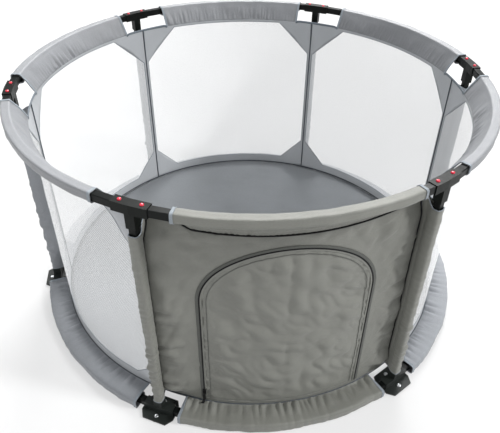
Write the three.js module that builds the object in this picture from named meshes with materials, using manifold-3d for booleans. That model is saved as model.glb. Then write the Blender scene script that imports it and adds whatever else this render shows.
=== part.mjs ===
// A round playpen: six posts, a curved square-tube rim and base ring, fabric and mesh walls,
// a zipped door in the front panel, and a fabric floor.
// Millimetres, +Z up, origin on the floor at the centre of the ring. The front is towards -Y.
// Pieces are modelled as they stand at the front of the ring and turned to their own place.

import * as THREE from 'three';
import { mergeVertices } from 'three/addons/utils/BufferGeometryUtils.js';
import Module from 'manifold-3d';

const wasm = await Module();
wasm.setup();

// ---- Driving dimensions ----

const RING_R = 630;            // centreline of the rim and base ring
const POST_COUNT = 6;
const TEE_TOP_Z = 675;         // top face of the rim's connectors
const TUBE = 19;               // outer size of the square rails
const TUBE_WALL = 1;
const TUBE_CHAMFER = 1.6;
const SOCKET = 23;             // outer size of the connectors' rail sockets
const BORE = 19.8;             // inner size of the rail sockets
const SOCKET_REACH = 40;       // from the post's axis to a socket's mouth
const RAIL_TIP = 9;            // from the post's axis to a rail's end
const POST_SIZE = 17;
const POST_BORE = 17.8;
const STEM = 22;               // outer size of the connectors' post sockets
const CUP_HEIGHT = 3;          // suction cups hold the feet this far off the floor
const PLATE_THICKNESS = 4;
const WALL_INNER_R = 585;
const WALL_OUTER_R = 589;
const WALL_BOTTOM_Z = 30.5;
const WALL_TOP_Z = 620;
const FRONT_WALL_TOP_Z = 600;
const MAT_TOP_Z = 30;
const MAT_THICKNESS = 4;
const SKIRT_END = 58;          // from the post's axis to a skirt's cut end
const DOOR_HALF_WIDTH = 198;   // to the middle of the zip, measured along X
const DOOR_SPRING_Z = 394;     // where the door's straight legs meet its arch
const DOOR_RISE = 162;
const DOOR_BOTTOM_Z = 44;
const ZIP_HALF_WIDTH = 5;
const GAP = 0.3;               // between pieces that touch
const POST_BOTTOM_Z = 28;
const POST_TOP_Z = 645;

// The pen's posts, in order round the ring from the front left, and the side between each two.
// sleeve: how far the top sleeve's two cut ends stand from the posts' axes.
const POSTS = ['front_left', 'front_right', 'right', 'back_right', 'back_left', 'left'];
const SIDES = [
  { name: 'front', sleeve: [84, 63] },
  { name: 'right_front', sleeve: [73, 92] },
  { name: 'right_back', sleeve: [50, 98] },
  { name: 'back', sleeve: [59, 95] },
  { name: 'left_back', sleeve: [65, 74] },
  { name: 'left_front', sleeve: [74, 86] },
];

// ---- Worked-out dimensions ----

const TOP_RAIL_Z = TEE_TOP_Z - SOCKET / 2;
const BOTTOM_RAIL_Z = CUP_HEIGHT + PLATE_THICKNESS + GAP + TUBE / 2;
const HALF_SIDE = (RING_R * Math.PI) / POST_COUNT;     // arc from a side's middle to its post
const ARM_MID = (RAIL_TIP + SOCKET_REACH) / 2;         // middle of a rail's straight end
const ARM_R = RING_R * Math.cos((SOCKET_REACH - RAIL_TIP) / 2 / RING_R);
const SLEEVE_BORE = TUBE / 2 + 0.6;
const FRONT_POST_TURN = -Math.PI / POST_COUNT;

// ---- Helpers ----

function toSolid(geometry) {
  const bare = geometry.clone();
  bare.deleteAttribute('normal');
  bare.deleteAttribute('uv');
  const merged = mergeVertices(bare, 1e-4);
  const index = merged.index.array;
  const kept = [];
  for (let i = 0; i < index.length; i += 3) {
    const [a, b, c] = [index[i], index[i + 1], index[i + 2]];
    if (a !== b && b !== c && c !== a) {
      kept.push(a, b, c);
    }
  }
  return new wasm.Manifold(new wasm.Mesh({
    numProp: 3,
    vertProperties: new Float32Array(merged.attributes.position.array),
    triVerts: new Uint32Array(kept),
  }));
}

function toGeometry(solid) {
  const mesh = solid.getMesh();
  const geometry = new THREE.BufferGeometry();
  geometry.setAttribute('position', new THREE.BufferAttribute(mesh.vertProperties, 3));
  geometry.setIndex(new THREE.BufferAttribute(mesh.triVerts, 1));
  return geometry;
}

function joined(solids) {
  return solids.reduce((whole, solid) => whole.add(solid));
}

function block(width, depth, low, high, y = -RING_R) {
  const geometry = new THREE.BoxGeometry(width, depth, high - low);
  geometry.translate(0, y, (low + high) / 2);
  return toSolid(geometry);
}

function polygon(points) {
  return new THREE.Shape(points.map(([x, y]) => new THREE.Vector2(x, y)));
}

// A square with cut corners, centred on (x, y).
function cutSquare(x, y, halfX, halfY, cut) {
  return [
    [x - halfX + cut, y - halfY], [x + halfX - cut, y - halfY],
    [x + halfX, y - halfY + cut], [x + halfX, y + halfY - cut],
    [x + halfX - cut, y + halfY], [x - halfX + cut, y + halfY],
    [x - halfX, y + halfY - cut], [x - halfX, y - halfY + cut],
  ];
}

function tubeShape(x, y, halfX, halfY, cut, boreX, boreY) {
  const shape = polygon(cutSquare(x, y, halfX, halfY, cut));
  shape.holes.push(polygon([
    [x - boreX, y - boreY], [x - boreX, y + boreY], [x + boreX, y + boreY], [x + boreX, y - boreY],
  ]));
  return shape;
}

// Sweeps a (radius, height) shape round the ring, with a section at each station. Stations are arc
// lengths on the ring's centreline, from the middle of the side at the front.
function sweepRound(shape, stations) {
  const steps = stations.length - 1;
  const geometry = new THREE.ExtrudeGeometry(shape, { depth: steps, steps, bevelEnabled: false });
  const points = geometry.attributes.position;
  for (let i = 0; i < points.count; i += 1) {
    const radius = points.getX(i);
    const height = points.getY(i);
    const turn = stations[steps - Math.round(points.getZ(i))] / RING_R;
    points.setXYZ(i, radius * Math.sin(turn), -radius * Math.cos(turn), height);
  }
  return geometry;
}

function evenStations(from, to, steps) {
  return Array.from({ length: steps + 1 }, (_, i) => from + ((to - from) * i) / steps);
}

// The sewn part of a side: evenly spaced sections between its two cut ends.
function sleeveStations([startGap, endGap]) {
  const sleeveSteps = 7;
  return evenStations(startGap - HALF_SIDE, HALF_SIDE - endGap, sleeveSteps);
}

// A whole rail: straight where it sits in its sockets, then the same sections as its sleeve.
function railStations(gaps) {
  return [
    RAIL_TIP - HALF_SIDE,
    SOCKET_REACH - HALF_SIDE,
    ...sleeveStations(gaps),
    HALF_SIDE - SOCKET_REACH,
    HALF_SIDE - RAIL_TIP,
  ];
}

// A square block along a rail's straight end, from one distance to another off the post's axis.
function armBlock(side, size, from, to, z) {
  const geometry = new THREE.BoxGeometry(to - from, size, size);
  geometry.translate(side * ((from + to) / 2 - ARM_MID), -ARM_R, z);
  geometry.rotateZ((side * ARM_MID) / RING_R);
  return toSolid(geometry);
}

function armBores(z) {
  const boreStart = RAIL_TIP - 1;
  return joined([-1, 1].map((side) => armBlock(side, BORE, boreStart, SOCKET_REACH + 1, z)));
}

function armBodies(z) {
  return joined([-1, 1].map((side) => armBlock(side, SOCKET, -1, SOCKET_REACH, z)));
}

// ---- Frame ----

// Round holes over the snap buttons, through the top walls of the socket and the rail.
function buttonHoles() {
  const holeRadius = 4.7;
  const holeDepth = TUBE / 2;
  return joined([-1, 1].map((side) => {
    const geometry = new THREE.CylinderGeometry(holeRadius, holeRadius, holeDepth, 12);
    geometry.rotateX(Math.PI / 2);
    geometry.translate(0, -ARM_R, TOP_RAIL_Z + TUBE / 2);
    geometry.rotateZ((side * ARM_MID) / RING_R);
    return toSolid(geometry);
  }));
}

function topTee() {
  const stemEnd = 616;
  const body = joined([armBodies(TOP_RAIL_Z), block(STEM, STEM, stemEnd, TOP_RAIL_Z)]);
  const postBore = block(POST_BORE, POST_BORE, stemEnd - 1, POST_TOP_Z + GAP);
  return body.subtract(armBores(TOP_RAIL_Z)).subtract(postBore).subtract(buttonHoles());
}

function railTube(z, gaps) {
  const bore = TUBE / 2 - TUBE_WALL;
  const shape = tubeShape(RING_R, z, TUBE / 2, TUBE / 2, TUBE_CHAMFER, bore, bore);
  return toSolid(sweepRound(shape, railStations(gaps)));
}

function topRail(gaps) {
  const holes = buttonHoles();
  const startHoles = holes.rotate([0, 0, -180 / POST_COUNT]);
  const endHoles = holes.rotate([0, 0, 180 / POST_COUNT]);
  return railTube(TOP_RAIL_Z, gaps).subtract(startHoles).subtract(endHoles);
}

// A domed button with a flange that stays under the rail's top wall.
function snapButton() {
  const ceiling = TOP_RAIL_Z + TUBE / 2 - TUBE_WALL;
  const profile = [
    [0, ceiling - 2.6], [6.5, ceiling - 2.6], [6.5, ceiling - GAP], [4.3, ceiling - GAP],
    [4.3, TEE_TOP_Z + 1], [3.1, TEE_TOP_Z + 2.6], [0, TEE_TOP_Z + 3.4],
  ];
  const geometry = new THREE.LatheGeometry(profile.map(([x, y]) => new THREE.Vector2(x, y)), 10);
  geometry.rotateX(Math.PI / 2);
  return toSolid(geometry);
}

function post() {
  const bore = POST_SIZE / 2 - TUBE_WALL;
  const shape = tubeShape(0, -RING_R, POST_SIZE / 2, POST_SIZE / 2, TUBE_CHAMFER, bore, bore);
  const geometry = new THREE.ExtrudeGeometry(shape, { depth: POST_TOP_Z - POST_BOTTOM_Z, bevelEnabled: false });
  geometry.translate(0, 0, POST_BOTTOM_Z);
  return toSolid(geometry);
}

// The foot's plate: wide under the socket, tapering to its outer and inner edges.
function footPlate() {
  const reach = 38;
  const tipHalfWidth = 32;
  const halfWidth = 45;
  const straight = 18;
  const shape = polygon([
    [-halfWidth, -RING_R - straight], [-tipHalfWidth, -RING_R - reach],
    [tipHalfWidth, -RING_R - reach], [halfWidth, -RING_R - straight],
    [halfWidth, -RING_R + straight], [tipHalfWidth, -RING_R + reach],
    [-tipHalfWidth, -RING_R + reach], [-halfWidth, -RING_R + straight],
  ]);
  const geometry = new THREE.ExtrudeGeometry(shape, { depth: PLATE_THICKNESS, bevelEnabled: false });
  geometry.translate(0, 0, CUP_HEIGHT);
  return toSolid(geometry);
}

// A suction cup pressed onto the floor: a flat rim round a shallow hollow.
function suctionCup(offset) {
  const profile = [[0, 2.4], [9, 0], [14.5, 0], [8, CUP_HEIGHT + 0.5], [0, CUP_HEIGHT + 0.5]];
  const geometry = new THREE.LatheGeometry(profile.map(([x, y]) => new THREE.Vector2(x, y)), 10);
  geometry.rotateX(Math.PI / 2);
  geometry.translate(0, -RING_R + offset, 0);
  return toSolid(geometry);
}

function baseFoot() {
  const cupOffset = 23;
  const stemTop = 50;
  const body = joined([
    armBodies(BOTTOM_RAIL_Z),
    block(STEM, STEM, BOTTOM_RAIL_Z, stemTop),
    footPlate(),
    suctionCup(-cupOffset),
    suctionCup(cupOffset),
  ]);
  const postBore = block(POST_BORE, POST_BORE, POST_BOTTOM_Z - GAP, stemTop + 1);
  return body.subtract(armBores(BOTTOM_RAIL_Z)).subtract(postBore);
}

// ---- Fabric ----

function wallSlab(innerR, outerR, top) {
  const seam = 0.5;
  const wallSteps = 9;
  const shape = polygon([
    [innerR, WALL_BOTTOM_Z], [outerR, WALL_BOTTOM_Z], [outerR, top], [innerR, top],
  ]);
  return toSolid(sweepRound(shape, evenStations(seam - HALF_SIDE, HALF_SIDE - seam, wallSteps)));
}

// The sleeve round the top rail, and the band that slants down from it to the wall's top edge.
function topSleeve(gaps, wallTop) {
  const stations = sleeveStations(gaps);
  const outer = TUBE / 2 + 2;
  const ring = tubeShape(RING_R, TOP_RAIL_Z, outer, outer, TUBE_CHAMFER, SLEEVE_BORE, SLEEVE_BORE);
  const bandTopR = RING_R - SLEEVE_BORE - 1;
  const bandTopZ = TOP_RAIL_Z - TUBE / 3;
  const band = polygon([
    [WALL_INNER_R + 0.5, wallTop - 2], [WALL_OUTER_R - 0.5, wallTop - 2],
    [bandTopR + 0.6, bandTopZ - 1.4], [bandTopR - 1, bandTopZ + 1.4],
  ]);
  return toSolid(sweepRound(ring, stations)).add(toSolid(sweepRound(band, stations)));
}

// The skirt: out from the foot of the wall and round the bottom rail.
function skirt() {
  const stations = sleeveStations([SKIRT_END, SKIRT_END]);
  const outerX = 20;
  const outerY = TUBE / 2 + 2;
  const ring = tubeShape(RING_R, BOTTOM_RAIL_Z, outerX, outerY, TUBE_CHAMFER, SLEEVE_BORE, SLEEVE_BORE);
  const bandEnd = RING_R - SLEEVE_BORE - 0.5;
  const bandTop = BOTTOM_RAIL_Z + outerY - 2;
  const band = polygon([
    [WALL_INNER_R + 0.5, WALL_BOTTOM_Z], [bandEnd, bandTop - 2.5], [bandEnd, bandTop],
    [WALL_INNER_R + 0.5, WALL_BOTTOM_Z + 2.5],
  ]);
  return toSolid(sweepRound(ring, stations)).add(toSolid(sweepRound(band, stations)));
}

function sidePanel(gaps, wallTop) {
  return joined([wallSlab(WALL_INNER_R, WALL_OUTER_R, wallTop), topSleeve(gaps, wallTop), skirt()]);
}

// A solid that passes through the wall and has the door's outline, grown by a margin all round.
function doorPrism(margin, bottom) {
  const halfWidth = DOOR_HALF_WIDTH + margin;
  const shape = new THREE.Shape();
  shape.moveTo(-halfWidth, bottom);
  shape.lineTo(halfWidth, bottom);
  shape.lineTo(halfWidth, DOOR_SPRING_Z);
  shape.absellipse(0, DOOR_SPRING_Z, halfWidth, DOOR_RISE + margin, 0, Math.PI, false, 0);
  shape.closePath();
  const geometry = new THREE.ExtrudeGeometry(shape, { depth: 150, bevelEnabled: false, curveSegments: 18 });
  geometry.rotateX(Math.PI / 2);
  geometry.translate(0, -500, 0);
  return toSolid(geometry);
}

function frontPanel(gaps) {
  const opening = doorPrism(ZIP_HALF_WIDTH + GAP, DOOR_BOTTOM_Z - GAP);
  return sidePanel(gaps, FRONT_WALL_TOP_Z).subtract(opening);
}

function doorFlap() {
  const outline = doorPrism(-ZIP_HALF_WIDTH - GAP, DOOR_BOTTOM_Z + GAP);
  return wallSlab(WALL_INNER_R, WALL_OUTER_R, FRONT_WALL_TOP_Z).intersect(outline);
}

function zipTrack() {
  const slab = wallSlab(WALL_INNER_R - 0.6, WALL_OUTER_R + 1.2, FRONT_WALL_TOP_Z);
  const outside = doorPrism(ZIP_HALF_WIDTH, DOOR_BOTTOM_Z);
  const inside = doorPrism(-ZIP_HALF_WIDTH, DOOR_BOTTOM_Z - 1);
  return slab.intersect(outside.subtract(inside));
}

function postSleeve() {
  const sleeveBottom = 53;
  const sleeveTop = 589;
  const halfWidth = 13;
  const innerY = -(WALL_OUTER_R + 1);
  const outerY = -(RING_R + 12);
  const middle = (innerY + outerY) / 2;
  const halfDepth = (innerY - outerY) / 2;
  const shape = polygon(cutSquare(0, middle, halfWidth, halfDepth, 3));
  const boreHalf = POST_SIZE / 2 + 1;
  shape.holes.push(polygon([
    [-boreHalf, -RING_R - boreHalf], [-boreHalf, -RING_R + boreHalf],
    [boreHalf, -RING_R + boreHalf], [boreHalf, -RING_R - boreHalf],
  ]));
  const geometry = new THREE.ExtrudeGeometry(shape, { depth: sleeveTop - sleeveBottom, bevelEnabled: false });
  geometry.translate(0, 0, sleeveBottom);
  return toSolid(geometry);
}

function floorMat() {
  const radius = WALL_INNER_R - 1.2;
  const bottom = MAT_TOP_Z - MAT_THICKNESS;
  const profile = [[0, bottom], [radius, bottom], [radius, MAT_TOP_Z], [0, MAT_TOP_Z]];
  const geometry = new THREE.LatheGeometry(profile.map(([x, y]) => new THREE.Vector2(x, y)), 40);
  geometry.rotateX(Math.PI / 2);
  return toSolid(geometry);
}

// ---- Zip slider and pull ----

const SLIDER_Z = 75;
const SLIDER_FACE_R = WALL_OUTER_R + 5.6;      // the slider's outer face
const PULL_AXIS_R = SLIDER_FACE_R + 2.4;       // the bar that the pull swings on
const SLIDER_TURN = -Math.asin(DOOR_HALF_WIDTH / (WALL_OUTER_R + 1.2));

// A block given by its width, its near and far radius, and its two heights from the slider's middle.
function zipBlock(width, nearR, farR, low, high) {
  return block(width, farR - nearR, SLIDER_Z + low, SLIDER_Z + high, -(nearR + farR) / 2);
}

function zipSlider() {
  const body = zipBlock(9, WALL_OUTER_R + 1.6, SLIDER_FACE_R, -7, 7);
  const hoop = zipBlock(2.4, SLIDER_FACE_R - 0.5, PULL_AXIS_R + 3, -4.6, 4.6);
  const eye = zipBlock(4, SLIDER_FACE_R, PULL_AXIS_R + 1.6, -3, 3);
  return body.add(hoop.subtract(eye));
}

function zipPull() {
  const half = 0.8;
  const tab = zipBlock(8, PULL_AXIS_R - half, PULL_AXIS_R + half, -24, half);
  const eye = zipBlock(5.2, PULL_AXIS_R - 2, PULL_AXIS_R + 2, -6.2, -half);
  return tab.subtract(eye);
}

// ---- Finishes ----

function blackPlastic() {
  return new THREE.MeshStandardMaterial({ color: 0x20231f, roughness: 0.42, metalness: 0 });
}

function blackPaintedTube() {
  return new THREE.MeshStandardMaterial({ color: 0x1c1f1d, roughness: 0.35, metalness: 0.3 });
}

function redPlastic() {
  return new THREE.MeshStandardMaterial({ color: 0xd8283c, roughness: 0.3, metalness: 0 });
}

function greyFabric() {
  return new THREE.MeshStandardMaterial({ color: 0x74746f, roughness: 0.85, metalness: 0 });
}

function matFabric() {
  return new THREE.MeshStandardMaterial({ color: 0x8c8f93, roughness: 0.8, metalness: 0 });
}

function zipTape() {
  return new THREE.MeshStandardMaterial({ color: 0x151515, roughness: 0.6, metalness: 0 });
}

function zipMetal() {
  return new THREE.MeshStandardMaterial({ color: 0x2a2a2a, roughness: 0.35, metalness: 0.8 });
}

// ---- Assembly ----

const playpen = new THREE.Group();

function addPiece(name, solid, material, turn = 0) {
  const mesh = new THREE.Mesh(toGeometry(solid), material);
  mesh.name = name;
  mesh.rotation.z = turn;
  playpen.add(mesh);
  return mesh;
}

POSTS.forEach((name, i) => {
  const turn = FRONT_POST_TURN + (i * 2 * Math.PI) / POST_COUNT;
  addPiece(`top_tee_${name}`, topTee(), blackPlastic(), turn);
  addPiece(`post_${name}`, post(), blackPaintedTube(), turn);
  addPiece(`base_foot_${name}`, baseFoot(), blackPlastic(), turn);
  addPiece(`post_sleeve_${name}`, postSleeve(), greyFabric(), turn);
  [-1, 1].forEach((side) => {
    const buttonTurn = turn + (side * ARM_MID) / RING_R;
    const button = addPiece(`button_${name}_${side < 0 ? 1 : 2}`, snapButton(), redPlastic());
    button.position.set(ARM_R * Math.sin(buttonTurn), -ARM_R * Math.cos(buttonTurn), 0);
    button.rotation.z = buttonTurn;
  });
});

SIDES.forEach(({ name, sleeve }, i) => {
  const turn = (i * 2 * Math.PI) / POST_COUNT;
  const panel = name === 'front' ? frontPanel(sleeve) : sidePanel(sleeve, WALL_TOP_Z);
  addPiece(`top_rail_${name}`, topRail(sleeve), blackPaintedTube(), turn);
  addPiece(`bottom_rail_${name}`, railTube(BOTTOM_RAIL_Z, [SKIRT_END, SKIRT_END]), blackPaintedTube(), turn);
  addPiece(`panel_${name}`, panel, greyFabric(), turn);
});

addPiece('door_flap', doorFlap(), greyFabric());
addPiece('zip_track', zipTrack(), zipTape());
addPiece('zip_slider', zipSlider(), zipMetal(), SLIDER_TURN);
addPiece('zip_pull', zipPull(), zipMetal(), SLIDER_TURN);
addPiece('floor_mat', floorMat(), matFabric());

export default playpen;
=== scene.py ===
# %% [markdown]
# # A round playpen, dressed over its frame
# The frame of this playpen comes ready made: black tubes, connectors, buttons and hinges stand where they
# will stay. What is left is what a sewing room would add. This lesson makes the camera and the light, then
# the cloths and finishes, and then sews the walls, sleeves, skirts, door and floor, piece by piece.

# %% the frame
import math

import bpy
import numpy as np
from mathutils import Matrix, Vector, noise


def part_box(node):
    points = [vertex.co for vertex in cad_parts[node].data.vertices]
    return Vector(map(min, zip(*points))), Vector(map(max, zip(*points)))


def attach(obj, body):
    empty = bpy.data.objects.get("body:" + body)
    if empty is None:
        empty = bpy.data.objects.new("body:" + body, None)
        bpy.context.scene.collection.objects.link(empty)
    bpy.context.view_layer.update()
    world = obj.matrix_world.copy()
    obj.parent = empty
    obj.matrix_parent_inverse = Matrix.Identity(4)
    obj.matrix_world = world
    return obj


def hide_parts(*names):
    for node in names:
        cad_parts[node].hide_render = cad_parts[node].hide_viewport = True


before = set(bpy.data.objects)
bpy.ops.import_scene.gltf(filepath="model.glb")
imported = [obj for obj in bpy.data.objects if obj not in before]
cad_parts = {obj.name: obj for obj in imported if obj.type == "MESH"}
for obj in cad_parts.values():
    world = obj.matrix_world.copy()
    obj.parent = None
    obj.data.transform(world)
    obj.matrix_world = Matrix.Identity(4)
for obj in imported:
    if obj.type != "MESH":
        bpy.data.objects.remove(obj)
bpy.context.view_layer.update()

# %% [markdown]
# ## The driving sizes
# Everything on this pen lies on circles round one upright axis. A place is easiest to give as a turn round
# the ring, a radius and a height, so the few sizes below are read off the frame's own pieces, and the rest
# of the script works from them. Arc lengths are measured on the centreline of the rails.

# %% driving sizes
def middle(node, axis):
    low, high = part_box(node)
    return (low[axis] + high[axis]) / 2


RING = middle("post_right", 0)
RIM_Z = middle("top_rail_front", 2)
BASE_Z = middle("bottom_rail_front", 2)
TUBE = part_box("top_rail_front")[1][2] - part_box("top_rail_front")[0][2]
# The top of a foot's plate, the walls' radius, the foot of the walls and the top of the floor mat.
PLATE_TOP = 0.007
WALL = RING - 0.043
WALL_FOOT = 0.031
MAT_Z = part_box("floor_mat")[1][2]
HALF_SIDE = math.pi * RING / 6

POSTS = {"front_left": -30, "front_right": 30, "right": 90, "back_right": 150, "back_left": 210, "left": 270}
# Each side's turn in degrees, and how far its top sleeve's two cut ends stand from their posts.
SIDES = {
    "front": (0, 0.084, 0.063),
    "right_front": (60, 0.073, 0.092),
    "right_back": (120, 0.050, 0.098),
    "back": (180, 0.059, 0.095),
    "left_back": (240, 0.065, 0.074),
    "left_front": (300, 0.074, 0.086),
}
# A skirt's cut ends stand this far from the posts. One of the twelve stands closer.
SKIRT_GAP = 0.058
CLOSE_SKIRT_GAP = 0.042


def at(turn, radius, height):
    """The point at a turn round the ring, counted from the front towards the right."""
    return Vector((radius * math.sin(turn), -radius * math.cos(turn), height))


def on_side(side, along, radius, height):
    """The point on a side that is an arc length along from the side's middle."""
    return at(math.radians(SIDES[side][0]) + along / RING, radius, height)


print(f"ring radius {RING:.3f}, rim at {RIM_Z:.4f}, base at {BASE_Z:.4f}, tube {TUBE:.4f} m")

# %% [markdown]
# ## The camera
# The pen is seen from a little over a metre and a half away, from above and slightly left of the front, with
# a normal lens. The eye is placed by an azimuth, an elevation and a distance from the point that it looks at.
# The roll is small: the view leans by less than a degree.

# %% camera
AZIMUTH = math.radians(-8.99)
ELEVATION = math.radians(37.85)
ROLL = math.radians(0.69)
EYE_DISTANCE = 1.636
LENS = 41.1
SENSOR_WIDTH = 36
AIM = Vector((-0.0244, -0.1604, 0.3133))


def make_camera():
    back = Vector((
        math.sin(AZIMUTH) * math.cos(ELEVATION),
        -math.cos(AZIMUTH) * math.cos(ELEVATION),
        math.sin(ELEVATION),
    ))
    across = Vector((math.cos(AZIMUTH), math.sin(AZIMUTH), 0))
    upward = back.cross(across)
    leant_across = across * math.cos(ROLL) + upward * math.sin(ROLL)
    leant_up = upward * math.cos(ROLL) - across * math.sin(ROLL)
    data = bpy.data.cameras.new("camera")
    data.sensor_width = SENSOR_WIDTH
    data.lens = LENS
    camera = bpy.data.objects.new("camera", data)
    turned = Matrix((leant_across, leant_up, back)).transposed().to_4x4()
    camera.matrix_world = Matrix.Translation(AIM + back * EYE_DISTANCE) @ turned
    bpy.context.collection.objects.link(camera)
    bpy.context.scene.camera = camera
    return camera


camera = make_camera()
print("camera stands at", [round(v, 3) for v in camera.matrix_world.translation])

# %% [markdown]
# ## Light and floor
# The pale floor should almost vanish while the black parts still show their shape. Soft boxes close by would
# do it, but they light the near cloth more than the far cloth, so these lamps stand very far away. A wide one
# behind the pen lights the tops of the rails, a narrow one on the right rakes over the front wall and shows
# its crumples, and a weak one fills from the left. The sky is white at the horizon, dimmest about twenty
# degrees up and brighter again overhead, so upright cloth reads darker than cloth that lies flat. The floor
# glows a little of its own, which keeps the pen's shadow light.

# %% light and floor
def wire(source, target):
    """Joins one node's output socket to another node's input socket."""
    target.id_data.links.new(source, target)


def link(a, a_out, b, b_in):
    wire(a.outputs[a_out], b.inputs[b_in])


def tune(node, settings):
    """Sets input sockets by name."""
    for name, value in settings.items():
        node.inputs[name].default_value = value


def make_sky():
    world = bpy.data.worlds.new("studio")
    bpy.context.scene.world = world
    world.use_nodes = True
    nodes = world.node_tree.nodes
    place = nodes.new("ShaderNodeTexCoord")
    split = nodes.new("ShaderNodeSeparateXYZ")
    ramp = nodes.new("ShaderNodeValToRGB")
    stops = ramp.color_ramp.elements
    stops[0].position, stops[0].color = 0.15, (1, 1, 1, 1)
    stops[1].position, stops[1].color = 1.0, (0.80, 0.80, 0.80, 1)
    stops.new(0.32).color = (0.17, 0.17, 0.17, 1)
    link(place, "Generated", split, "Vector")
    link(split, "Z", ramp, "Fac")
    link(ramp, "Color", nodes["Background"], "Strength")
    nodes["Background"].inputs["Color"].default_value = (0.97, 0.985, 1.0, 1)


def make_lamp(name, towards, spread, strength):
    """A far lamp in the direction towards, as wide in the sky as spread degrees."""
    data = bpy.data.lights.new(name, "SUN")
    data.angle = math.radians(spread)
    data.energy = strength
    lamp = bpy.data.objects.new(name, data)
    lamp.rotation_euler = (-Vector(towards)).to_track_quat("-Z", "Y").to_euler()
    bpy.context.collection.objects.link(lamp)
    return lamp


FLOOR_REACH = 30
FLOOR_TONE = 0.30
FLOOR_GLOW = 0.52


def make_floor():
    reach = FLOOR_REACH
    mesh = bpy.data.meshes.new("floor")
    corners = [(-reach, -reach, 0), (reach, -reach, 0), (reach, reach, 0), (-reach, reach, 0)]
    mesh.from_pydata(corners, [], [(0, 1, 2, 3)])
    floor = bpy.data.objects.new("floor", mesh)
    bpy.context.collection.objects.link(floor)
    material = bpy.data.materials.new("studio_floor")
    material.use_nodes = True
    shader = material.node_tree.nodes["Principled BSDF"]
    tune(shader, {"Base Color": (FLOOR_TONE, FLOOR_TONE, FLOOR_TONE, 1), "Roughness": 0.9,
                  "Specular IOR Level": 0, "Emission Color": (1, 1, 1, 1), "Emission Strength": FLOOR_GLOW})
    mesh.materials.append(material)
    return floor


make_sky()
make_lamp("key_lamp", towards=(0.22, 0.68, 0.70), spread=26, strength=4.6)
make_lamp("right_lamp", towards=(0.72, -0.30, 0.62), spread=9, strength=2.5)
make_lamp("left_lamp", towards=(-0.70, -0.30, 0.65), spread=14, strength=0.55)
make_floor()
bpy.context.scene.view_settings.view_transform = "Standard"

# %% [markdown]
# ## Woven cloth
# The covers are plain-woven polyester with a thin coating. A weave is two sets of threads that go over and
# under each other, so the height of the cloth rises and falls as one sine across by one sine along. The
# threads are set in metres through the piece's own cloth coordinates, which run along and across the cut.
# Soft mottling and a slubby speckle keep the colour from being flat, as dyed thread does.

# %% woven cloth
def new_material(name):
    material = bpy.data.materials.new(name)
    material.use_nodes = True
    return material, material.node_tree.nodes, material.node_tree.nodes["Principled BSDF"]


def math_node(nodes, operation, first, second=None):
    node = nodes.new("ShaderNodeMath")
    node.operation = operation
    for socket, value in zip(node.inputs, (first, second)):
        if value is None:
            continue
        if isinstance(value, (int, float)):
            socket.default_value = value
        else:
            wire(value, socket)
    return node.outputs[0]


def cloth_coordinates(nodes):
    """The along and across sockets of a piece's cloth coordinates, in metres."""
    place = nodes.new("ShaderNodeUVMap")
    place.uv_map = "cloth"
    split = nodes.new("ShaderNodeSeparateXYZ")
    link(place, "UV", split, "Vector")
    return split.outputs["X"], split.outputs["Y"]


def speckle(nodes, scale, detail=2.0):
    """Noise in the pen's own space, at so many bumps to a metre."""
    place = nodes.new("ShaderNodeTexCoord")
    texture = nodes.new("ShaderNodeTexNoise")
    tune(texture, {"Scale": scale, "Detail": detail})
    link(place, "Object", texture, "Vector")
    return texture.outputs["Fac"]


def two_tone(nodes, factor, dark, light, low=0.3, high=0.7):
    """A colour that runs from dark to light as the factor goes from low to high."""
    ramp = nodes.new("ShaderNodeValToRGB")
    ramp.color_ramp.elements[0].position = low
    ramp.color_ramp.elements[1].position = high
    ramp.color_ramp.elements[0].color = (*dark, 1)
    ramp.color_ramp.elements[1].color = (*light, 1)
    wire(factor, ramp.inputs["Fac"])
    return ramp.outputs["Color"]


def bump(nodes, height, distance, strength=1.0, under=None):
    node = nodes.new("ShaderNodeBump")
    tune(node, {"Distance": distance, "Strength": strength})
    wire(height, node.inputs["Height"])
    if under is not None:
        wire(under, node.inputs["Normal"])
    return node.outputs["Normal"]


def scaled(colour, factor):
    return tuple(min(c * factor, 1) for c in colour)


def woven_cloth(name, colour, thread=0.0011, roughness=0.62, sheen=0.12, shine=0.4):
    material, nodes, shader = new_material(name)
    along, across = cloth_coordinates(nodes)
    turns = 2 * math.pi / thread
    warp = math_node(nodes, "SINE", math_node(nodes, "MULTIPLY", along, turns))
    weft = math_node(nodes, "SINE", math_node(nodes, "MULTIPLY", across, turns))
    weave = math_node(nodes, "MULTIPLY", warp, weft)
    mottled = two_tone(nodes, speckle(nodes, 5), scaled(colour, 0.93), scaled(colour, 1.06))
    threads = two_tone(nodes, speckle(nodes, 420), (0.86, 0.86, 0.86), (1, 1, 1))
    tint = nodes.new("ShaderNodeMixRGB")
    tint.blend_type = "MULTIPLY"
    tint.inputs["Fac"].default_value = 0.8
    wire(mottled, tint.inputs["Color1"])
    wire(threads, tint.inputs["Color2"])
    link(tint, "Color", shader, "Base Color")
    soft = bump(nodes, speckle(nodes, 60), 0.0008, 0.5)
    raised = bump(nodes, weave, 0.00012, 0.6, under=soft)
    wire(raised, shader.inputs["Normal"])
    tune(shader, {"Roughness": roughness, "Sheen Weight": sheen, "Sheen Roughness": 0.5,
                  "Specular IOR Level": shine})
    return material


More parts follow.
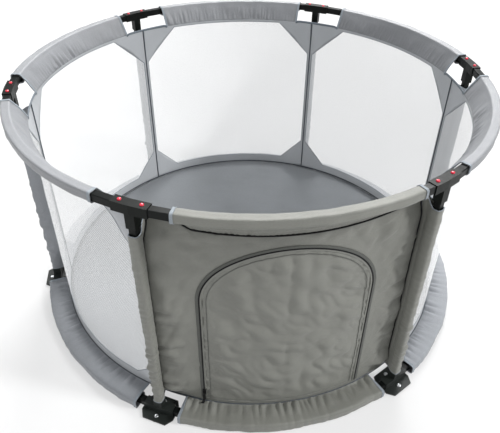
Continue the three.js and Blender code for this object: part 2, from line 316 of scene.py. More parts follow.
# A darker, warmer copy of the grey cloth for the pieces on the front. It is painted shade, because the front
# faces away from the lamps.
SHADED_WARM_GREY = woven_cloth("warm_grey_cloth_painted_shade", (0.172, 0.174, 0.154), roughness=0.5, shine=0.5)
COOL_GREY = woven_cloth("cool_grey_cloth", (0.245, 0.257, 0.275))
WALL_GREY = woven_cloth("wall_grey_cloth", (0.435, 0.45, 0.47))
RIM_GREY = woven_cloth("rim_grey_cloth", (0.205, 0.212, 0.225), roughness=0.48, shine=0.6)
FLOOR_GREY = woven_cloth("floor_grey_cloth", (0.180, 0.191, 0.202), roughness=0.75, shine=0.12)
SHADE_GREY = woven_cloth("shade_grey_tape", (0.085, 0.088, 0.080), thread=0.0009, shine=0.2)
PIPING = woven_cloth("slate_piping", (0.070, 0.082, 0.095), thread=0.0009, shine=0.2)
SLATE = woven_cloth("slate_binding", (0.15, 0.175, 0.20), thread=0.0009, shine=0.2)
BINDING = woven_cloth("pale_binding", (0.25, 0.28, 0.31), thread=0.0009)
print("cloths:", [m.name for m in bpy.data.materials if "cloth" in m.name])

# %% [markdown]
# ## Net
# The windows are a white knitted net. It could be a real lattice of threads, but five panels of two
# millimetre holes would be millions of faces. Here the sheet stays whole and its material lets the view
# through: two sets of slanting threads stay, and the diamonds between them are transparent.

# %% net
# A thread's edge is soft over this much of the wave on either side, so that a far net looks even.
THREAD_EDGE = 0.16


def knitted_net(name, colour, pitch, thread_share):
    material, nodes, shader = new_material(name)
    along, across = cloth_coordinates(nodes)
    turns = math.pi / pitch
    rising = math_node(nodes, "MULTIPLY", math_node(nodes, "ADD", along, across), turns)
    falling = math_node(nodes, "MULTIPLY", math_node(nodes, "SUBTRACT", along, across), turns)
    one = math_node(nodes, "ABSOLUTE", math_node(nodes, "SINE", rising))
    other = math_node(nodes, "ABSOLUTE", math_node(nodes, "SINE", falling))
    nearest = math_node(nodes, "MINIMUM", one, other)
    solid = nodes.new("ShaderNodeMapRange")
    tune(solid, {"From Min": thread_share + THREAD_EDGE, "From Max": thread_share - THREAD_EDGE})
    wire(nearest, solid.inputs["Value"])
    tone = two_tone(nodes, speckle(nodes, 4), scaled(colour, 0.96), colour)
    wire(tone, shader.inputs["Base Color"])
    wire(bump(nodes, nearest, 0.0002), shader.inputs["Normal"])
    tune(shader, {"Roughness": 0.8, "Specular IOR Level": 0.1})
    holes = nodes.new("ShaderNodeBsdfTransparent")
    mix = nodes.new("ShaderNodeMixShader")
    link(solid, "Result", mix, 0)
    link(holes, "BSDF", mix, 1)
    link(shader, "BSDF", mix, 2)
    link(mix, "Shader", nodes["Material Output"], "Surface")
    return material


NET = knitted_net("white_net", (0.86, 0.865, 0.87), pitch=0.0042, thread_share=0.52)
print("net made:", NET.name)

# %% [markdown]
# ## Hard finishes
# The connectors are black moulded plastic with a fine spark-eroded grain. The tubes are powder coated, which
# leaves a faint orange peel. The feet are a lighter, duller copy of the tees' plastic. That is painted light,
# which makes up for the shade that the rim and walls throw on them. The screws are bright zinc, and the
# buttons are glossy red plastic. Each one is a base colour with a little variation, a roughness that varies,
# and its own small bump.

# %% hard finishes
def hard_finish(name, colour, roughness, grain, grain_height, metal=0.0, coat=0.0, shine=0.5):
    material, nodes, shader = new_material(name)
    tone = two_tone(nodes, speckle(nodes, 30), scaled(colour, 0.85), scaled(colour, 1.15))
    wire(tone, shader.inputs["Base Color"])
    wear = nodes.new("ShaderNodeMapRange")
    tune(wear, {"To Min": roughness - 0.06, "To Max": roughness + 0.08})
    wire(speckle(nodes, 90), wear.inputs["Value"])
    link(wear, "Result", shader, "Roughness")
    wire(bump(nodes, speckle(nodes, grain), grain_height), shader.inputs["Normal"])
    tune(shader, {"Metallic": metal, "Coat Weight": coat, "Specular IOR Level": shine})
    return material


PLASTIC_GRAIN = 0.00008
BLACK_PLASTIC = hard_finish("black_moulded_plastic", (0.0042, 0.0056, 0.0046), 0.36, 1500, PLASTIC_GRAIN,
                            shine=0.11)
# A lighter copy of the black plastic for the feet. It is painted light, making up for the shade of the rim
# and walls.
LIGHTENED_FOOT_PLASTIC = hard_finish("black_plastic_feet_painted_light", (0.0135, 0.0165, 0.0148), 0.42, 1500, PLASTIC_GRAIN,
                           shine=0.30)
BLACK_TUBE = hard_finish("black_powder_coat", (0.0040, 0.0050, 0.0047), 0.30, 700, 0.00006, shine=0.11)
RED_PLASTIC = hard_finish("red_gloss_plastic", (0.72, 0.03, 0.06), 0.25, 300, 0.00002, coat=0.3)
BRIGHT_ZINC = hard_finish("bright_zinc", (0.50, 0.51, 0.52), 0.34, 900, 0.00003, metal=1.0)
DARK_METAL = hard_finish("dark_lacquered_metal", (0.02, 0.02, 0.02), 0.32, 500, 0.00003, metal=0.7)
ZIP_BLACK = woven_cloth("black_zip_tape", (0.008, 0.008, 0.009), thread=0.0008, sheen=0.02, shine=0.15)
print("hard finishes made")

# %% [markdown]
# ## Sewing a sheet
# Each cloth piece is laid out as rows of points, like the lines of a pattern, and neighbouring rows are
# joined with four-sided faces. Every point keeps its place on the flat cloth in metres, so the weave has its
# true scale. A Solidify modifier then gives the sheet its thickness and its edges. The folds are written as
# smooth noise that comes out the same every time. A cloth simulation could make them, but not in the places
# where this pen's cloth is gathered, pulled or creased.

# %% sewing helpers
def mesh_piece(name, points, faces, flat_places, material, smooth=True):
    mesh = bpy.data.meshes.new(name)
    mesh.from_pydata([tuple(p) for p in points], [], faces)
    layer = mesh.uv_layers.new(name="cloth")
    for loop in mesh.loops:
        layer.data[loop.index].uv = flat_places[loop.vertex_index]
    mesh.polygons.foreach_set("use_smooth", [smooth] * len(mesh.polygons))
    mesh.materials.append(material)
    piece = bpy.data.objects.new(name, mesh)
    bpy.context.collection.objects.link(piece)
    return piece


def sheet_from_rows(name, rows, material, thick=0.0010, closed=False):
    """rows holds rows of (point, (along, across)). closed joins each row's last point to its first."""
    width = len(rows[0])
    points = [p for row in rows for p, _ in row]
    places = [q for row in rows for _, q in row]
    faces = []
    for r in range(len(rows) - 1):
        for c in range(width if closed else width - 1):
            d = (c + 1) % width
            faces.append((r * width + c, r * width + d, (r + 1) * width + d, (r + 1) * width + c))
    piece = mesh_piece(name, points, faces, places, material)
    if thick:
        solid = piece.modifiers.new("thickness", "SOLIDIFY")
        solid.thickness = thick
        solid.offset = 0
    return piece


def steps(start, end, count):
    return [start + (end - start) * i / count for i in range(count + 1)]


def ripple(x, y, seed=0.0):
    """Smooth repeatable noise from about -1 to 1."""
    return noise.noise(Vector((x, y, seed)))


def fade(x):
    """Rises smoothly from 0 to 1 as x goes from 0 to 1, and stays there."""
    x = min(max(x, 0.0), 1.0)
    return x * x * (3 - 2 * x)


def round_tube(name, path, radius, material, beside, flatten=1.0, closed=False):
    """A round cord of cloth, such as piping, along a list of points. beside gives a direction across it."""
    rim = 8
    points, places, faces = [], [], []
    length = 0.0
    count = len(path)
    for i, point in enumerate(path):
        before = path[i - 1] if i or closed else path[0]
        after = path[(i + 1) % count] if i < count - 1 or closed else path[-1]
        ahead = (after - before).normalized()
        across = beside(point) if callable(beside) else Vector(beside)
        across = (across - ahead * across.dot(ahead)).normalized()
        other = ahead.cross(across)
        if i:
            length += (path[i] - path[i - 1]).length
        for k in range(rim):
            angle = 2 * math.pi * k / rim
            points.append(point + (across * math.cos(angle) * flatten + other * math.sin(angle)) * radius)
            places.append((length, radius * angle))
    for i in range(count if closed else count - 1):
        j = (i + 1) % count
        for k in range(rim):
            m = (k + 1) % rim
            faces.append((i * rim + k, i * rim + m, j * rim + m, j * rim + k))
    if not closed:
        faces.append(tuple(reversed(range(rim))))
        faces.append(tuple(range((count - 1) * rim, count * rim)))
    return mesh_piece(name, points, faces, places, material)


def outward(point):
    """The level direction from the pen's axis out to a point."""
    return Vector((point.x, point.y, 0)).normalized()


def smooth_line(corners, count):
    """Evenly spaced points on a smooth line through the corners, each corner a pair of numbers."""
    ends = [corners[0], *corners, corners[-1]]
    fine = []
    for i in range(len(corners) - 1):
        a, b, c, d = (np.array(p, float) for p in ends[i:i + 4])
        for t in steps(0, 1, 12)[:-1]:
            fine.append(0.5 * (2 * b + (c - a) * t + (2 * a - 5 * b + 4 * c - d) * t * t
                               + (3 * b - a - 3 * c + d) * t ** 3))
    fine.append(np.array(corners[-1], float))
    fine = np.array(fine)
    run = np.concatenate([[0], np.cumsum(np.hypot(*np.diff(fine, axis=0).T))])
    wanted = np.linspace(0, run[-1], count + 1)
    return [(float(np.interp(w, run, fine[:, 0])), float(np.interp(w, run, fine[:, 1]))) for w in wanted]


def swept_strip(name, side, start, end, section, material, gap=0.0025, fold=None, thick=0.0010):
    """A strip of cloth whose cross-section, pairs of radius and height, is carried along a side.
    fold gives how far the cloth stands out from its section at an arc length and a distance across."""
    rows = []
    for along in steps(start, end, int((end - start) / gap)):
        line = section(along)
        across = 0.0
        row = []
        for i, (radius, height) in enumerate(line):
            before, after = line[max(i - 1, 0)], line[min(i + 1, len(line) - 1)]
            run, rise = after[0] - before[0], after[1] - before[1]
            size = math.hypot(run, rise) or 1
            if i:
                across += math.hypot(radius - line[i - 1][0], height - line[i - 1][1])
            out = fold(along, across) if fold else 0.0
            point = on_side(side, along, radius - rise / size * out, height + run / size * out)
            row.append((point, (along, across)))
        rows.append(row)
    return sheet_from_rows(name, rows, material, thick)


def line_length(line):
    return sum(math.dist(line[i], line[i + 1]) for i in range(len(line) - 1))


def sew_on(piece, replaced=(), body="pen"):
    """Hangs a finished piece on the body that it rides on, and hides the frame pieces that it stands for."""
    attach(piece, body)
    if replaced:
        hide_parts(*replaced)
    return piece


print("sewing helpers ready")

# %% [markdown]
# ## The windowed walls
# Five of the six walls are mostly window. A wall is cut as a frame of plain cloth with an eight-sided
# opening, and the net fills it. The frame could be cut from a flat grid, but a jagged edge would follow. So
# pairs of points are walked round the hem and round the opening together, and the cloth is woven between
# each pair, which puts clean edges exactly on both outlines.

# %% windowed walls
# The window's highest and lowest edge, its distance from a post, where its upright edges end, and how far its
# level edges stay from the posts.
NET_TOP = 0.615
NET_FOOT = 0.062
WINDOW_SIDE = 0.009
SIDE_TOP = 0.512
SIDE_FOOT = 0.150
TOP_CORNER = 0.126
FOOT_CORNER = 0.096
# The wall's top edge where it is free, beside a post, and where it is sewn to its rim sleeve.
FREE_TOP = 0.628
SEAM_TOP = 0.622


def hem_height(side, along):
    """The wall's top edge: the seam to the rim sleeve, rising to a free edge beside the posts."""
    start, end = SIDES[side][1:]
    slope = 0.05 if side == "front" else 0.02
    into_left = (along + HALF_SIDE - start) / slope + 0.5
    into_right = (HALF_SIDE - end - along) / slope + 0.5
    sewn = fade(min(into_left, into_right))
    seam = SEAM_TOP
    if side == "front":
        seam = 0.606 - 0.012 * math.cos(along / HALF_SIDE * math.pi / 2)
    return FREE_TOP + (seam - FREE_TOP) * sewn


def between(a, b, t):
    return a[0] + (b[0] - a[0]) * t, a[1] + (b[1] - a[1]) * t


def legs_between(hem, opening, counts):
    """Walks the hem's and the opening's corners together, and returns the pairs of points."""
    pairs = []
    size = len(hem)
    for i in range(size):
        for t in steps(0, 1, counts[i])[:-1]:
            j = (i + 1) % size
            pairs.append((between(hem[i], hem[j], t), between(opening[i], opening[j], t)))
    return pairs


def drawn_out(turn, height):
    """How far the sleeves of the two front posts draw the wall's corners out."""
    drawn = 0.0
    for post, reach in (("front_left", 0.021), ("front_right", 0.010)):
        away = abs((turn - math.radians(POSTS[post]) + math.pi) % (2 * math.pi) - math.pi) * RING
        drawn += reach * (1 - fade(away / 0.12))
    return drawn * fade((height - 0.035) / 0.05) * fade((0.605 - height) / 0.05)


def wall_wave(side, along, height):
    """How far the wall's cloth stands off its circle."""
    seed = SIDES[side][0] * 0.13
    broad = 0.0016 * ripple(along * 9, height * 7, seed)
    fine = 0.0007 * ripple(along * 60, height * 22, seed + 5)
    edge = min(abs(along + HALF_SIDE), abs(HALF_SIDE - along), abs(height - WALL_FOOT)) / 0.05
    return (broad + fine) * fade(edge) + drawn_out(math.radians(SIDES[side][0]) + along / RING, height)


def wall_point(side, along, height):
    return on_side(side, along, WALL + wall_wave(side, along, height), height)


def window_outline():
    left, right = -HALF_SIDE, HALF_SIDE
    return [
        (left + TOP_CORNER, NET_TOP), (right - TOP_CORNER, NET_TOP),
        (right - WINDOW_SIDE, SIDE_TOP), (right - WINDOW_SIDE, SIDE_FOOT),
        (right - FOOT_CORNER, NET_FOOT), (left + FOOT_CORNER, NET_FOOT),
        (left + WINDOW_SIDE, SIDE_FOOT), (left + WINDOW_SIDE, SIDE_TOP),
    ]


def window_frame(side):
    """The plain cloth round a net, from its hem to its opening."""
    left, right, low, high = -HALF_SIDE, HALF_SIDE, WALL_FOOT, SEAM_TOP
    w = window_outline()
    opening = [w[0], w[1], between(w[1], w[2], 0.5), w[2], w[3], between(w[3], w[4], 0.5),
               w[4], w[5], between(w[5], w[6], 0.5), w[6], w[7], between(w[7], w[0], 0.5)]
    hem = [(w[0][0], high), (w[1][0], high), (right, high), (right, w[2][1]), (right, w[3][1]), (right, low),
           (w[4][0], low), (w[5][0], low), (left, low), (left, w[6][1]), (left, w[7][1]), (left, high)]
    pairs = legs_between(hem, opening, [60, 18, 18, 40, 16, 14, 60, 14, 16, 40, 18, 18])
    rows = []
    for t in steps(0, 1, 8):
        row = []
        for outer, inner in pairs:
            lifted = outer
            if outer[1] > NET_TOP:
                lifted = (outer[0], outer[1] + hem_height(side, outer[0]) - high)
            along, height = between(lifted, inner, t)
            row.append((wall_point(side, along, height), (along, height)))
        rows.append(row)
    return sheet_from_rows(f"wall_frame_{side}", rows, WALL_GREY, closed=True)


def window_net(side):
    rows = []
    left, right = -HALF_SIDE + WINDOW_SIDE, HALF_SIDE - WINDOW_SIDE
    for height in steps(NET_FOOT, NET_TOP, 60):
        cut = 0.0
        if height > SIDE_TOP:
            cut = (TOP_CORNER - WINDOW_SIDE) * (height - SIDE_TOP) / (NET_TOP - SIDE_TOP)
        if height < SIDE_FOOT:
            cut = (FOOT_CORNER - WINDOW_SIDE) * (SIDE_FOOT - height) / (SIDE_FOOT - NET_FOOT)
        row = []
        for along in steps(left + cut, right - cut, 70):
            row.append((wall_point(side, along, height), (along, height)))
        rows.append(row)
    return sheet_from_rows(f"window_net_{side}", rows, NET, thick=0)


def window_edge(side):
    """The dark stitched edge round the opening."""
    w = window_outline()
    path = []
    for i in range(len(w)):
        a, b = w[i], w[(i + 1) % len(w)]
        pieces = max(int(math.hypot(b[0] - a[0], b[1] - a[1]) / 0.008), 1)
        for t in steps(0, 1, pieces)[:-1]:
            along, height = between(a, b, t)
            path.append(on_side(side, along, WALL + wall_wave(side, along, height), height))
    return round_tube(f"window_edge_{side}", path, 0.0010, SLATE, outward, closed=True)


for side in SIDES:
    if side == "front":
        continue
    frame_cloth = sew_on(window_frame(side), replaced=[f"panel_{side}"])
    net = sew_on(window_net(side))
    edge = sew_on(window_edge(side))
    corners = (TOP_CORNER - WINDOW_SIDE) * (NET_TOP - SIDE_TOP)
    corners += (FOOT_CORNER - WINDOW_SIDE) * (SIDE_FOOT - NET_FOOT)

# %% [markdown]
# ## Rim sleeves
# Above each wall a band of cloth leans out from the wall's top seam to the rail, wraps over the rail and
# comes back under it. One strip does band and sleeve together, because the real one is a single cut. Its
# section is a smooth line round the square tube, and it is carried along the side. The seam gathers the
# cloth, so folds run up the band and die out where the cloth is pulled tight over the rail.

# %% rim sleeves
HALF_TUBE = TUBE / 2
# The cloth stands this far off the tube, and its turned hems are this wide.
CLOTH_GAP = 0.0018
RIM_HEM = 0.0065


def rim_section(side):
    """The line from the wall's seam up to the rail, over it and back under it, as radius and height."""
    inner, outer = RING - HALF_TUBE - CLOTH_GAP, RING + HALF_TUBE + CLOTH_GAP
    top, under = RIM_Z + HALF_TUBE + CLOTH_GAP, RIM_Z - HALF_TUBE - CLOTH_GAP

    def section(along):
        seam = hem_height(side, 0) if side != "front" else hem_height(side, along)
        sag = 0.0012 * ripple(along * 14, 0, SIDES[side][0])
        return smooth_line([
            (WALL, seam), (WALL + 0.0075, seam + 0.014), (WALL + 0.0180, seam + 0.0315),
            (inner - 0.0036, top - 0.0070), (inner + 0.0012, top - 0.0006), (inner + 0.005, top + 0.0001),
            (RING, top), (outer - 0.004, top + 0.0001), (outer - 0.0008, top - 0.0006),
            (outer, top - 0.0036), (outer + sag, RIM_Z), (outer - 0.0002, under + 0.004),
            (outer - 0.004, under - 0.0004), (RING, under - 0.0008), (inner, under + 0.0002),
            (inner - 0.006, under + 0.002),
        ], 54)

    return section


def rim_fold(side):
    """Gathers that start at the seam, and a looser swell that is pulled flat on top of the rail."""
    seed = SIDES[side][0] * 0.71
    strength = {"left_back": 1.5, "right_back": 1.5, "front": 0.9}.get(side, 1.0)

    def fold(along, across):
        patch = 0.35 + 1.1 * fade(0.5 + 2.2 * ripple(along * 5, 0.4, seed + 8))
        fine = abs(ripple(along * 85, across * 10, seed)) - 0.2
        gathered = 0.0056 * strength * patch * fine * (1 - fade(across / 0.056))
        loose = 0.0020 * ripple(along * 26, across * 22, seed + 3) * fade(across / 0.02)
        on_top = 0.4 * fade((across - 0.045) / 0.01) * (1 - fade((across - 0.085) / 0.01))
        return gathered * fade(across / 0.006) + loose * (1 - on_top)

    return fold


def rim_ends(side):
    start, end = SIDES[side][1:]
    return -HALF_SIDE + start, HALF_SIDE - end


def cut_hem(name, side, cut, inward, section, fold, width):
    """The pale turned hem at a cut end: a narrow band over the sleeve, raised along both its edges."""
    far = cut + inward * width
    start, end = min(cut, far), max(cut, far)

    def raised(along, across):
        edge = math.exp(-((along - start) / 0.0011) ** 2) + math.exp(-((along - end) / 0.0011) ** 2)
        return fold(along, across) + 0.0011 + 0.0007 * edge

    hem = swept_strip(name, side, start, end, section, BINDING, gap=0.0008, fold=raised, thick=0.0009)
    return sew_on(hem)


def both_hems(kind, side, start, end, section, fold, width):
    return [cut_hem(f"{kind}_{side}_0", side, start, 1, section, fold, width),
            cut_hem(f"{kind}_{side}_1", side, end, -1, section, fold, width)]


for side in SIDES:
    start, end = rim_ends(side)
    section = rim_section(side)
    # The front's sleeve takes the darker copy of the cloth, which is painted shade.
    cloth = RIM_GREY if side != "front" else SHADED_WARM_GREY
    fold = rim_fold(side)
    sleeve = swept_strip(f"rim_sleeve_{side}", side, start, end, section, cloth, fold=fold)
    sew_on(sleeve)
    rims = both_hems("rim_binding", side, start, end, section, fold, RIM_HEM)
    girth = line_length(section(0))
    print(f"rim sleeve {side}: {end - start:.3f} by {girth:.3f} m")

# %% [markdown]
# ## Base skirts
# The skirt is a wide strip that starts at the wall's foot, lies over the base rail, drops over its far side
# and turns under. The seam gathers more cloth than the rail needs, so pleats fan out from it. The same sweep
# makes it, with stronger folds near the seam and near the two cut ends.

# %% base skirts
SKIRT_HEM = 0.007


def skirt_section(along):
    """The line from the wall's foot over the base rail and back under it. It is the same all along."""
    return smooth_line([
        (WALL + 0.001, WALL_FOOT + 0.0004), (WALL + 0.012, WALL_FOOT + 0.0010), (RING - 0.014, 0.0318),
        (RING - 0.004, 0.0312), (RING + 0.011, 0.0302), (RING + 0.0190, 0.0286), (RING + 0.0212, 0.0250),
        (RING + 0.0214, 0.0160), (RING + 0.0208, 0.0060), (RING + 0.0170, 0.0038), (RING, 0.0036),
        (RING - 0.0140, 0.0042), (RING - 0.0160, 0.0080), (RING - 0.0162, 0.0240),
    ], 56)


def skirt_fold(side, start, end):
    seed = SIDES[side][0] * 0.37

    def fold(along, across):
        near_end = 1 - fade(min(along - start, end - along) / 0.09)
        depth = 0.017 if side == "front" else 0.0125
        pleat = (abs(ripple(along * 44, across * 6, seed)) - 0.2) * (depth + 0.0045 * near_end)
        at_seam = fade(across / 0.006) * (1 - 0.85 * fade((across - 0.014) / 0.034))
        hang = 0.0028 * ripple(along * 16, across * 16, seed + 2) * fade((across - 0.05) / 0.02)
        return pleat * at_seam + hang

    return fold


for side in SIDES:
    left_gap = CLOSE_SKIRT_GAP if side == "left_front" else SKIRT_GAP
    start, end = -HALF_SIDE + left_gap, HALF_SIDE - SKIRT_GAP
    fold = skirt_fold(side, start, end)
    # The front's skirt takes the darker copy of the cloth, which is painted shade.
    cloth = SHADED_WARM_GREY if side == "front" else COOL_GREY
    skirt = swept_strip(f"base_skirt_{side}", side, start, end, skirt_section, cloth, fold=fold)
    sew_on(skirt)
    rims = both_hems("skirt_binding", side, start, end, skirt_section, fold, SKIRT_HEM)
    girth = line_length(skirt_section(0))
seam_ring = [at(turn, WALL + 0.0018, WALL_FOOT + 0.0012) for turn in steps(0, 2 * math.pi, 240)[:-1]]
sew_on(round_tube("skirt_seam", seam_ring, 0.0013, PIPING, (0, 0, 1), closed=True))
print(f"base skirts: {girth:.3f} m round the rail")

# %% [markdown]
# ## The door's outline
# The front wall has a wide arched door that is closed by one long zip. The arch is two straight legs and half
# an ellipse. The wall's opening, both zip tapes, the coil and the door's own edge all follow that one line
# at different distances from it, so it is written once, with a distance to step out from it.

# %% door outline
# Half the door's width, the height where the arch springs from its legs, the arch's rise and the door's foot.
DOOR_HALF = 0.198
DOOR_SPRING = 0.394
DOOR_RISE = 0.162
DOOR_FOOT = 0.044
# The zip shows in this gap between the zip's line and either cloth.
ZIP_GAP = 0.0035


def arch_point(share, step):
    """A place on the arch, from the left foot at 0 to the right foot at 1, stepped outwards."""
    leg = DOOR_SPRING - DOOR_FOOT
    curve = math.pi * (DOOR_HALF + DOOR_RISE) / 2
    run = share * (2 * leg + curve)
    if run < leg:
        return -DOOR_HALF - step, DOOR_FOOT + run
    if run > leg + curve:
        return DOOR_HALF + step, DOOR_SPRING - (run - leg - curve)
    turn = math.pi * (1 - (run - leg) / curve)
    x, z = DOOR_HALF * math.cos(turn), DOOR_RISE * math.sin(turn)
    nx, nz = math.cos(turn) / DOOR_HALF, math.sin(turn) / DOOR_RISE
    size = math.hypot(nx, nz)
    return x + nx / size * step, DOOR_SPRING + z + nz / size * step


def arc_of(x):
    """The arc length along the side where the wall stands a distance x from the door's middle."""
    return math.asin(x / WALL) * RING


def on_front(x, radius, z):
    """The point a distance x from the door's middle, at a radius and a height."""
    return on_side("front", arc_of(x), radius, z)


def door_edge_distance(x, z):
    """Roughly how far a place on the door is from the zip."""
    if z < DOOR_SPRING:
        return DOOR_HALF - abs(x)
    return (1 - math.hypot(x / DOOR_HALF, (z - DOOR_SPRING) / DOOR_RISE)) * DOOR_RISE


print("arch top at", round(arch_point(0.5, 0)[1], 3))

# %% [markdown]
# ## The front wall
# The front wall is plain cloth round the arch. It is woven between its hem and the arch in the same way as
# the window frames. The cloth is soft and hangs from a seam that dips in the middle, so it has broad
# ripples, and small puckers where the zip is sewn on.

# %% front wall
def front_wave(along, height, from_zip):
    pucker = 0.0008 * ripple(along * 110, height * 110, 4) * (1 - fade(from_zip / 0.03))
    broad = 0.0060 * ripple(along * 8, height * 6, 9) + 0.0064 * ripple(along * 22, height * 19, 2)
    broad += 0.0085 * abs(ripple(along * 26 - height * 12, height * 30, 6))
    to_post = HALF_SIDE - abs(along)
    pull = 0.0150 * (abs(ripple(along * 5, height * 30, 11)) - 0.2) * (1 - fade((to_post - 0.03) / 0.05))
    edge = min(to_post, abs(height - WALL_FOOT)) / 0.05
    waves = broad * fade(edge) * fade(from_zip / 0.05) + pull * fade(to_post / 0.008) + pucker
    return waves + drawn_out(along / RING, height)


# The wall is woven in this many strips round the arch and along the door's foot. The upright edges of its hem
# have a joint at this height, beside the place where the arch springs.
ARCH_STEPS = 220
FOOT_STEPS = 90
LEG_MARK = 0.40


def hem_beside_arch(share):
    """The hem's place that faces a place on the arch, up the left edge, along the top and down the right."""
    left, right, low = -HALF_SIDE, HALF_SIDE, WALL_FOOT
    corners = [(0.0, (left, low)), (0.30, (left, LEG_MARK)), (0.36, (left, FREE_TOP)),
               (0.64, (right, FREE_TOP)), (0.70, (right, LEG_MARK)), (1.0, (right, low))]
    k = next(i for i in range(5) if share <= corners[i + 1][0] or i == 4)
    (before, start), (after, end) = corners[k], corners[k + 1]
    along, height = between(start, end, (share - before) / (after - before))
    if height > FREE_TOP - 1e-6:
        height = hem_height("front", along)
    return along, height


def front_wall():
    shares = steps(0, 1, ARCH_STEPS)
    opening = [(arc_of(x), z) for x, z in (arch_point(t, ZIP_GAP) for t in shares)]
    hem = [hem_beside_arch(share) for share in shares]
    foot_right, foot_left = opening[-1][0], opening[0][0]
    for t in steps(0, 1, FOOT_STEPS)[1:-1]:
        along = foot_right + (foot_left - foot_right) * t
        opening.append((along, DOOR_FOOT - 0.001))
        hem.append((along, WALL_FOOT))
    rows = []
    for t in steps(0, 1, 26):
        row = []
        for outer, inner in zip(hem, opening):
            along, height = between(outer, inner, t)
            from_zip = math.hypot(along - inner[0], height - inner[1])
            radius = WALL + front_wave(along, height, from_zip)
            row.append((on_side("front", along, radius, height), (along, height)))
        rows.append(row)
    return sheet_from_rows("front_wall", rows, SHADED_WARM_GREY, closed=True)


wall = sew_on(front_wall(), replaced=["panel_front"])
hem_start, hem_end = rim_ends("front")
# A dark cord along the front wall's top seam. It is painted shadow: it stands for the shade that the front
# rim sleeve throws into the gap above the wall.
painted_shadow_path = [on_side("front", along, WALL + 0.0022, hem_height("front", along) + 0.001)
            for along in steps(hem_start, hem_end, 120)]
sew_on(round_tube("front_rim_painted_shadow", painted_shadow_path, 0.0022, ZIP_BLACK, outward))

# %% [markdown]
# ## The door
# The door is one soft flap that folds down to the floor from its foot. It is laid out as upright columns
# whose tops follow the arch, so that no column ends in a sharp sliver. Broad crumples come from noise at
# several scales, a crease runs down the middle where it was folded in its box, and the zip puckers its edge.

# %% door
def door_wave(x, z):
    from_zip = door_edge_distance(x, z)
    beside_zip = fade(from_zip / 0.006) * (1 - fade((from_zip - 0.006) / 0.022))
    pucker = 0.0030 * ripple(x * 80, z * 80, 7) * beside_zip
    crumple = 0.0070 * ripple(x * 7, z * 6, 1) + 0.0076 * ripple(x * 19 + z * 6, z * 17, 3)
    crumple += 0.0095 * abs(ripple(x * 24, z * 27 + x * 12, 5))
    crease = -0.0030 * math.exp(-(x / 0.006) ** 2) * (0.6 + ripple(0.3, z * 18, 8))
    edge = fade(from_zip / 0.045) * fade((z - DOOR_FOOT) / 0.04)
    return (crumple + crease) * edge + pucker * fade((z - DOOR_FOOT) / 0.01)


def door_flap():
    rows = []
    for turn in steps(-math.pi / 2, math.pi / 2, 110):
        x = (DOOR_HALF - ZIP_GAP) * math.sin(turn)
        top = DOOR_SPRING + (DOOR_RISE - ZIP_GAP) * math.cos(turn)
        row = []
        for share in steps(0, 1, 120):
            z = DOOR_FOOT + (top - DOOR_FOOT) * share
            row.append((on_front(x, WALL + door_wave(x, z), z), (arc_of(x), z)))
        rows.append(row)
    return sheet_from_rows("door_cloth", rows, SHADED_WARM_GREY)


door = sew_on(door_flap(), replaced=["door_flap"], body="door")

# %% [markdown]
# ## The zip
# A coil zip is two narrow tapes with a nylon coil sewn along each facing edge. Each half belongs to its own
# cloth, so one tape and coil stay on the wall and the others go with the door. The coil is a thin cord whose
# path rises and falls once for each loop. Every loop modelled in full would be too small to see.

# %% zip
# How far the zip stands in front of the wall, how long it runs, and the room one loop of its coil takes.
ZIP_FACE = 0.0022
ZIP_RUN = 1.27
COIL_PITCH = 0.0022


def zip_tape(name, inner, outer, cloth):
    rows = []
    for share in steps(0, 1, 320):
        row = []
        for step in steps(inner, outer, 4):
            x, z = arch_point(share, step)
            pucker = 0.0005 * ripple(share * 130, step * 90, 2) * fade((abs(step) - 0.002) / 0.004)
            point = on_front(x, WALL + ZIP_FACE - 0.0006 + pucker, z)
            row.append((point, (share * ZIP_RUN, step)))
        rows.append(row)
    return sheet_from_rows(name, rows, cloth, thick=0.0007)


def zip_coil(name, step):
    path = []
    for share in steps(0, 1, 1150):
        x, z = arch_point(share, step)
        pulse = 0.0003 * math.sin(2 * math.pi * share * ZIP_RUN / COIL_PITCH)
        path.append(on_front(x, WALL + ZIP_FACE + pulse, z))
    return round_tube(name, path, 0.0009, ZIP_BLACK, outward)


def zip_tail():
    """The loose end of both tapes, splayed over the skirt's seam at the zip's foot."""
    foot_x, foot_z = arch_point(0, 0)
    rows = []
    for t in steps(0, 1, 10):
        row = []
        for step in steps(-1, 1, 4):
            x = foot_x - 0.004 * t + step * (0.0024 + 0.0022 * t)
            radius = WALL + ZIP_FACE + 0.012 * fade(t) + 0.0008 * step * t
            height = foot_z - 0.008 * fade(t * 1.6) + 0.001 * step * t
            row.append((on_front(x, radius, height), (0.02 * t, step * 0.004)))
        rows.append(row)
    return sheet_from_rows("zip_tail", rows, ZIP_BLACK, thick=0.0009)


tape_on_wall = sew_on(zip_tape("zip_tape_wall", 0.0004, 0.0085, SHADE_GREY), ["zip_track"])
sew_on(zip_coil("zip_coil_wall", 0.0007))
tape_on_door = sew_on(zip_tape("zip_tape_door", -0.0060, -0.0004, SHADED_WARM_GREY), body="door")
sew_on(zip_coil("zip_coil_door", -0.0007), body="door")
sew_on(zip_tail())
stitch_path = []
for share in steps(0, 1, 420):
    x, z = arch_point(share, -0.015)
    z = max(z, DOOR_FOOT + 0.002)
    stitch_path.append(on_front(x, WALL + 0.0015 + door_wave(x, z), z))
sew_on(round_tube("door_stitch", stitch_path, 0.0006, SHADE_GREY, outward), body="door")
print("zip halves:", tape_on_wall.name, tape_on_door.name)

# %% [markdown]
# ## Post sleeves
# A loose tube of cloth runs down every post and is caught in the wall's seam on its inner side. Its section
# is a teardrop that is narrow at the seam and round at the post. Loose cloth on an upright post slips down
# and gathers into level wrinkles, stronger towards the foot.

# %% post sleeves
SLEEVE_FOOT = 0.051
SLEEVE_TOP = 0.598


